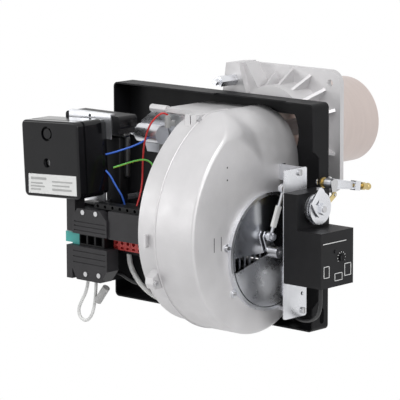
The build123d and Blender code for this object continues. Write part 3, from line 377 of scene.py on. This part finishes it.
FAN_Y, FAN_Z = -61.0, 104.0
SEAM_X, FACE_X = 234.0, 298.0
SCROLL = dict(radius=95.0, growth=0.003417, top=174.0, back=59.0, drum=76.0, inlet=66.0,
              left=SEAM_X, right=FACE_X)


def scroll_outline(tree, angle):
    """The scroll's radius at an angle: uncut, and as cut off by the tray's plane and the drum."""
    turn = angle.math("RADIANS")
    spiral = ((angle * -1 + 288) * tree.size("growth")).math("EXPONENT") * tree.size("radius")
    flat = tree.size("top") / turn.math("SINE").math("MAXIMUM", 0.001)
    whole = spiral.math("SMOOTH_MIN", flat, 7.0)
    plane = tree.size("back") / turn.math("COSINE").math("MAXIMUM", 0.001)
    upper = angle.share(39.0, 40.0)
    low = angle.share(-60.0, -72.0, True) * (tree.size("radius") - tree.size("drum")) + tree.size("drum")
    cut = low + (whole.math("MINIMUM", plane) - low) * upper
    return turn, whole, cut, upper


def around_fan(tree, shape, x, radius, turn):
    y = radius * turn.math("COSINE") + FAN_Y
    z = radius * turn.math("SINE") + FAN_Z
    return tree.place(shape, x, y, z)


def make_scroll():
    """Intake half of the scroll: rim, rounded shoulder and flat face, from one rule."""
    tree = Tree("scroll_intake_half", **SCROLL, edge=4.0, shoulder=70.0, shoulder_x=62.0)
    grid = tree.add("GeometryNodeMeshGrid", Size_X=1.0, Size_Y=1.0, Vertices_X=289, Vertices_Y=49)
    spot = tree.add("ShaderNodeSeparateXYZ", Vector=tree.add("GeometryNodeInputPosition").outputs["Position"])
    along = Number(tree, spot.outputs["X"]) + 0.5
    across = Number(tree, spot.outputs["Y"]) + 0.5
    angle = along * -360 + 288
    turn, whole, cut, upper = scroll_outline(tree, angle)
    soft = angle.share(120.0, 92.0, True) * upper
    deep = tree.size("edge") + (tree.size("shoulder") - tree.size("edge")) * soft
    wide = tree.size("edge") + (tree.size("shoulder_x") - tree.size("edge")) * soft
    upright = angle.math("MINIMUM", 90.0).math("RADIANS").math("SINE").math("MAXIMUM", 0.2)
    lean = (upright - 1) * upper + 1
    missing = (whole - cut) * lean * upper
    start = (missing / deep).math("MINIMUM", 1.0) * -1 + 1
    start = start.math("ARCCOSINE")
    bend = start + (start * -1 + pi / 2) * across.share(0.25, 0.8)
    fall = (deep * (bend.math("COSINE") * -1 + 1)).math("MAXIMUM", missing)
    radius = cut - (fall - missing) / lean
    radius = radius + (tree.size("inlet") - radius) * across.share(0.8, 1.0)
    x = tree.size("right") - wide * (bend.math("SINE") * -1 + 1)
    x = tree.size("left") + (x - tree.size("left")) * across.share(0.0, 0.25)
    piece = tree.run(around_fan(tree, grid.outputs["Mesh"], x, radius, turn), "cast_aluminium")
    face_outwards(piece)
    face = max(piece.data.polygons, key=lambda polygon: polygon.center.x)
    if face.normal.x < 0:
        piece.data.flip_normals()
    wall = piece.modifiers.new("wall", "SOLIDIFY")
    wall.thickness, wall.offset = 0.0034, -1
    finish_modifiers(piece)
    return dress(piece, "burner", "cast_aluminium", "fan_housing_intake", angle=50)


def make_seam_bead():
    """Raised bead along the seam of the two halves."""
    tree = Tree("seam_bead", **SCROLL, bead=1.1)
    line = tree.add("GeometryNodeCurvePrimitiveLine")
    fine = tree.add("GeometryNodeResampleCurve", Curve=line.outputs["Curve"], Count=240)
    share = Number(tree, tree.add("GeometryNodeSplineParameter").outputs["Factor"])
    turn, _, cut, _ = scroll_outline(tree, share * -190 + 282)
    path = around_fan(tree, fine.outputs["Curve"], tree.size("left") + 1.2, cut + 0.2, turn)
    ring = tree.add("GeometryNodeCurvePrimitiveCircle", Resolution=10, Radius=tree.size("bead"))
    bead = tree.add("GeometryNodeCurveToMesh", Curve=path, Profile_Curve=ring.outputs["Curve"],
                    Fill_Caps=True)
    piece = tree.run(bead.outputs["Mesh"], "cast_aluminium")
    face_outwards(piece)
    return dress(piece, "burner", "cast_aluminium", angle=60)


SCROLL_HALF = make_scroll()
make_seam_bead()

# ---------------------------------------------------------------- screws

def make_slotted_heads(name, nodes, radius, height, places):
    """Slotted screw heads, facing right, at the places in millimetres of the tray."""
    tree = Tree(name, radius=radius, height=height, groove=1.1)
    head = tree.add("GeometryNodeMeshCone", Vertices=40, Radius_Top=tree.size("radius") * 0.88,
                    Radius_Bottom=tree.size("radius"), Depth=tree.size("height"))
    size = tree.add("ShaderNodeCombineXYZ", X=tree.size("groove"), Y=tree.size("radius") * 3,
                    Z=tree.size("height"))
    cutter = tree.add("GeometryNodeMeshCube", Size=size.outputs["Vector"])
    lift = tree.add("ShaderNodeCombineXYZ", Z=tree.size("height") * 1.05)
    lifted = tree.add("GeometryNodeTransform", Geometry=cutter.outputs["Mesh"],
                      Translation=lift.outputs["Vector"])
    cut = tree.add("GeometryNodeMeshBoolean", {"operation": "DIFFERENCE"})
    tree.links.new(head.outputs["Mesh"], cut.inputs["Mesh 1"])
    tree.links.new(lifted.outputs["Geometry"], cut.inputs["Mesh 2"])
    heads = tree.add("GeometryNodeInstanceOnPoints", Points=tree.start.outputs["Geometry"],
                     Instance=cut.outputs["Mesh"], Rotation=(0, pi / 2, 0))
    piece = tree.run(heads.outputs["Instances"], "screw_steel", places)
    face_outwards(piece)
    return dress(piece, "burner", "screw_steel", *nodes, angle=30)


def around_fan_axis(angle, x, radius):
    return (x, FAN_Y + radius * cos(radians(angle)), FAN_Z + radius * sin(radians(angle)))


# ---------------------------------------------------------------- labels, marks and cable ducts

def surface_of(*pieces):
    """A ray finder over the surfaces of some pieces."""
    spots, faces = [], []
    for piece in pieces:
        start = len(spots)
        spots += [piece.matrix_world @ vertex.co for vertex in piece.data.vertices]
        faces += [[start + k for k in face.vertices] for face in piece.data.polygons]
    return BVHTree.FromPolygons(spots, faces)


def patch(name, finder, corners, slot, axis, thickness=0.0004, steps=6):
    """A thin four cornered sheet that lies on a surface, seen along an axis."""
    sight = Vector((0, 1, 0)) if axis == "y" else Vector((-1, 0, 0))
    work = bmesh.new()
    rows = []
    for i in range(steps + 1):
        row = []
        for j in range(steps + 1):
            u, v = i / steps, j / steps
            a, b = ((1 - u) * (1 - v) * corners[0][k] + u * (1 - v) * corners[1][k]
                    + u * v * corners[2][k] + (1 - u) * v * corners[3][k] for k in (0, 1))
            place = at(a, -400, b) if axis == "y" else at(500, a, b)
            hit = finder.ray_cast(place, sight)[0]
            row.append(work.verts.new(hit - sight * thickness))
        rows.append(row)
    for i in range(steps):
        for j in range(steps):
            work.faces.new((rows[i][j], rows[i + 1][j], rows[i + 1][j + 1], rows[i][j + 1]))
    bmesh.ops.recalc_face_normals(work, faces=work.faces)
    if sum(face.normal.dot(sight) for face in work.faces) > 0:
        bmesh.ops.reverse_faces(work, faces=work.faces)
    data = bpy.data.meshes.new(name)
    work.to_mesh(data)
    work.free()
    data.materials.append(FINISHES[slot])
    piece = bpy.data.objects.new(name, data)
    bpy.context.scene.collection.objects.link(piece)
    wall = piece.modifiers.new("wall", "SOLIDIFY")
    wall.thickness, wall.offset = thickness * 1.5, -1
    finish_modifiers(piece)
    return dress(piece, "burner", slot)


def boxes(name, blocks, slot, edge):
    """Rounded blocks, each from its two far corners in millimetres of the tray."""
    work = bmesh.new()
    for low, high in blocks:
        made = bmesh.ops.create_cube(work, size=1)["verts"]
        for vertex in made:
            vertex.co = at(*[(a + b) / 2 + c * (b - a) for a, b, c in zip(low, high, vertex.co)])
    data = bpy.data.meshes.new(name)
    work.to_mesh(data)
    work.free()
    data.materials.append(FINISHES[slot])
    piece = bpy.data.objects.new(name, data)
    bpy.context.scene.collection.objects.link(piece)
    round_edges(piece, edge)
    return dress(piece, "burner", slot)


def round_edges(piece, width):
    bevel = piece.modifiers.new("edges", "BEVEL")
    bevel.width, bevel.segments, bevel.limit_method = width, 3, "ANGLE"
    bevel.angle_limit = radians(40)
    finish_modifiers(piece)


def make_label():
    finder = surface_of(NODES["control_box_cover"])
    corners = LABEL_CORNERS
    patch("control_box_label", finder, corners, "white_plastic", "y")

    def inside(u0, v0, u1, v1):
        def mixed(u, v):
            low = [a + (b - a) * u for a, b in zip(corners[0], corners[1])]
            high = [a + (b - a) * u for a, b in zip(corners[3], corners[2])]
            return tuple(a + (b - a) * v for a, b in zip(low, high))
        return mixed(u0, v0), mixed(u1, v0), mixed(u1, v1), mixed(u0, v1)

    for number, span in enumerate(((0.05, 0.72, 0.38, 0.84), (0.05, 0.5, 0.3, 0.57), (0.05, 0.34, 0.34, 0.41),
                                   (0.05, 0.18, 0.26, 0.25), (0.5, 0.62, 0.92, 0.69), (0.5, 0.42, 0.86, 0.49),
                                   (0.5, 0.2, 0.9, 0.3))):
        patch("label_bar_%d" % number, finder, inside(*span), "grey_plastic", "y", 0.0007, 2)


KNOB_Y, KNOB_Z = -42.0, 106.0
LABEL_CORNERS = ((12, 164), (99, 168.6), (98, 194), (12, 189))


def make_servo_marks():
    """Plain marks of the servo's face: line, scale around the knob and three symbols' frames."""
    finder = surface_of(NODES["servo_faceplate"], NODES["servo_housing"])
    spans = [((-77.5, 126.5), (-33, 126.5), (-33, 127.4), (-77.5, 127.4))]
    for k in range(9):
        turn = radians(30 * k - 30)
        a, b = KNOB_Y + 7.2 * cos(turn), KNOB_Z + 7.2 * sin(turn)
        spans.append(((a - 0.5, b - 0.5), (a + 0.5, b - 0.5), (a + 0.5, b + 0.5), (a - 0.5, b + 0.5)))
    for a, b, wide, high in ((-76, 84, 10, 14), (-55, 78, 14, 9), (-36, 82, 12, 15)):
        for y0, z0, y1, z1 in ((a, b, a + wide, b + 0.8), (a, b + high, a + wide, b + high + 0.8),
                               (a, b, a + 0.8, b + high), (a + wide, b, a + wide + 0.8, b + high)):
            spans.append(((y0, z0), (y1, z0), (y1, z1), (y0, z1)))
    for number, span in enumerate(spans):
        patch("servo_mark_%d" % number, finder, span, "white_plastic", "x", 0.0003, 1)


def make_scroll_hole_shades():
    """Black sheets on the scroll's face: painted shade standing in for the dark inside two narrow slits and
    two small holes.
    """
    finder = surface_of(SCROLL_HALF)
    spans = [(-161.3, 116, 0.5, 18), (-148.4, 116, 0.5, 18), (-137, 217.9, 1.0, 2), (-137, 202.2, 1.0, 2)]
    for number, (y, z, half, high) in enumerate(spans):
        corners = ((y - half, z), (y + half, z), (y + half, z + high), (y - half, z + high))
        # Each sheet is painted shade: a black patch where the slit or hole is dark inside, not a real
        # opening.
        patch("scroll_hole_shade_%d" % number, finder, corners, "black_plastic", "x", 0.0001, 6)


RING_HEAD_X, RING_SCREW_RADIUS, RING_ANGLES = 300.0, 79.4, (10.5, 169.5, 214.5)
BOSS_RADIUS, BOSS_ANGLE, LUG_PLACE = 141.0, 192.0, (SEAM_X, -119.5, 272.0)

make_slotted_heads("ring_screw_heads", ("housing_screws",), 2.9, 2.4,
                   [around_fan_axis(angle, RING_HEAD_X, RING_SCREW_RADIUS) for angle in RING_ANGLES])
make_slotted_heads("seam_screw_heads", (), 3.6, 3.0,
                   [LUG_PLACE, around_fan_axis(BOSS_ANGLE, SEAM_X, BOSS_RADIUS)])
make_label()
make_servo_marks()
# Black sheets painted as the shade inside the scroll face's slits and holes.
make_scroll_hole_shades()
boxes("console_cables", [((88, -136, 238), (122, -124, 244)), ((113, -130, 186), (121, -123, 240))],
      "black_cable", 0.003)
boxes("cable_duct", [((89, -137, 151.5), (114, -122, 238))], "black_plastic", 0.0015)

# ---------------------------------------------------------------- cables

CABLES = {
    "white_loop_cable": (4.2, [
        (94, -176, 58), (91, -176, 42), (83, -177, 29), (76, -177, 16), (78, -176, 5),
        (88, -175, 1), (97, -174, 9), (102, -174, 22), (105, -174, 40), (106, -174, 58)]),
    "mains_cable": (6.4, [
        (141, -150, 95), (143, -151, 82), (150, -150, 68), (160, -147, 54), (171, -138, 41),
        (183, -120, 30), (189, -102, 22), (188, -82, 17), (182, -60, 14.5), (174, -38, 14),
        (169, -19, 14), (168, -2, 14)]),
    "black_cable": (5.0, [
        (118, -150, 66), (127, -149, 65), (137, -144, 57), (149, -139, 53), (161, -133, 54),
        (172, -128, 58), (183, -124, 63), (194, -122, 65)]),
    "servo_cable": (4.8, [
        (374, -48, 71), (374, -48, 56), (373, -47, 40), (365, -42, 27), (351, -37, 18),
        (335, -33, 14), (320, -27, 13.5), (306, -18, 14), (295, -10, 15), (292, -2, 15)]),
    "red_wire": (2.4, [
        (156, -92, 266), (155, -98, 270.5), (150, -106, 266), (144, -112.5, 255), (138, -113, 242),
        (134, -113, 228), (132, -113, 213), (132, -114, 196), (136, -119, 179), (140, -128, 163),
        (141, -135, 152)]),
    "blue_wire": (2.4, [
        (102.6, -151, 217), (110, -147, 219), (119, -138, 223), (127, -126, 227), (131, -115, 231),
        (131, -106, 234)]),
    "blue_lead": (2.4, [
        (102.6, -151, 196), (109, -150, 191), (114, -149, 183), (120, -147, 173), (126, -144, 163),
        (128, -143, 152)]),
    "earth_wire": (2.4, [
        (110, -145, 200), (119, -134, 204), (131, -124, 209), (144, -119, 211), (154, -117, 205),
        (158, -119, 192), (157, -125, 177), (154, -131, 164), (153, -134, 152)]),
}


def make_cable(node, diameter, route):
    """The cable's own smooth line, through the points of its route."""
    data = bpy.data.curves.new(node + "_line", "CURVE")
    data.dimensions = "3D"
    line = data.splines.new("NURBS")
    line.points.add(len(route) - 1)
    for point, place in zip(line.points, route):
        point.co = (*at(*place), 1)
    line.order_u = 3
    line.use_endpoint_u = True
    line.resolution_u = 10
    data.bevel_depth = diameter / 2000
    data.bevel_resolution = 5
    data.use_fill_caps = True
    data.materials.append(FINISHES[SLOT_OF[node]])
    piece = bpy.data.objects.new(node + "_sheath", data)
    bpy.context.scene.collection.objects.link(piece)
    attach(piece, "burner")
    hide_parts(node)


for cable_node, (cable_diameter, cable_route) in CABLES.items():
    make_cable(cable_node, cable_diameter, cable_route)


# ---------------------------------------------------------------- studio

def white_rays(tree, path):
    """One for rays of the camera, and for mirrored and passed ones."""
    total = path.outputs["Is Camera Ray"]
    for kind in ("Is Glossy Ray", "Is Transmission Ray"):
        larger = tree.nodes.new("ShaderNodeMath")
        larger.operation = "MAXIMUM"
        tree.links.new(total, larger.inputs[0])
        tree.links.new(path.outputs[kind], larger.inputs[1])
        total = larger.outputs["Value"]
    return total


def make_studio():
    low, high = CAD_BOX
    scene = bpy.context.scene
    floor_z = low[2] - 0.001
    mesh = bpy.data.meshes.new("floor")
    size = 6.0
    corners = ((-size, -size), (size, -size), (size, size), (-size, size))
    mesh.from_pydata([(x, y, floor_z) for x, y in corners], [], [(0, 1, 2, 3)])
    floor = bpy.data.objects.new("floor", mesh)
    scene.collection.objects.link(floor)
    material = bpy.data.materials.new("pale floor")
    material.use_nodes = True
    tree = material.node_tree
    diffuse = tree.nodes["Principled BSDF"]
    diffuse.inputs["Base Color"].default_value = (0.9, 0.9, 0.9, 1)
    diffuse.inputs["Roughness"].default_value = 0.9
    diffuse.inputs["Specular IOR Level"].default_value = 0.0
    glow = tree.nodes.new("ShaderNodeEmission")
    path = tree.nodes.new("ShaderNodeLightPath")
    share = tree.nodes.new("ShaderNodeMath")
    share.operation = "MULTIPLY"
    share.inputs[1].default_value = 1.0
    tree.links.new(white_rays(tree, path), share.inputs[0])
    mix = tree.nodes.new("ShaderNodeMixShader")
    tree.links.new(share.outputs["Value"], mix.inputs["Fac"])
    tree.links.new(diffuse.outputs["BSDF"], mix.inputs[1])
    tree.links.new(glow.outputs["Emission"], mix.inputs[2])
    tree.links.new(mix.outputs["Shader"], tree.nodes["Material Output"].inputs["Surface"])
    mesh.materials.append(material)

    world = bpy.data.worlds.new("studio")
    scene.world = world
    world.use_nodes = True
    tree = world.node_tree
    tree.nodes.clear()
    out = tree.nodes.new("ShaderNodeOutputWorld")
    seen = tree.nodes.new("ShaderNodeBackground")
    seen.inputs["Color"].default_value = (1, 1, 1, 1)
    light = tree.nodes.new("ShaderNodeBackground")
    light.inputs["Color"].default_value = (0.93, 0.95, 1, 1)
    light.inputs["Strength"].default_value = 0.32
    path = tree.nodes.new("ShaderNodeLightPath")
    mix = tree.nodes.new("ShaderNodeMixShader")
    tree.links.new(white_rays(tree, path), mix.inputs["Fac"])
    tree.links.new(light.outputs["Background"], mix.inputs[1])
    tree.links.new(seen.outputs["Background"], mix.inputs[2])
    tree.links.new(mix.outputs["Shader"], out.inputs["Surface"])

    middle = (Vector(low) + Vector(high)) / 2
    for name, place, size, power in (
            ("key lamp", (0.3, -1.0, 2.0), 1.0, 26), ("side lamp", (2.0, -0.7, 0.9), 1.0, 17),
            ("front lamp", (-1.6, -1.6, 0.4), 0.9, 7)):
        data = bpy.data.lights.new(name, "AREA")
        data.shape = "DISK"
        data.size = size
        data.energy = power
        lamp = bpy.data.objects.new(name, data)
        scene.collection.objects.link(lamp)
        lamp.location = middle + Vector(place)
        lamp.rotation_euler = (-Vector(place)).to_track_quat("-Z", "Y").to_euler()
    scene.view_settings.view_transform = "Standard"


make_studio()
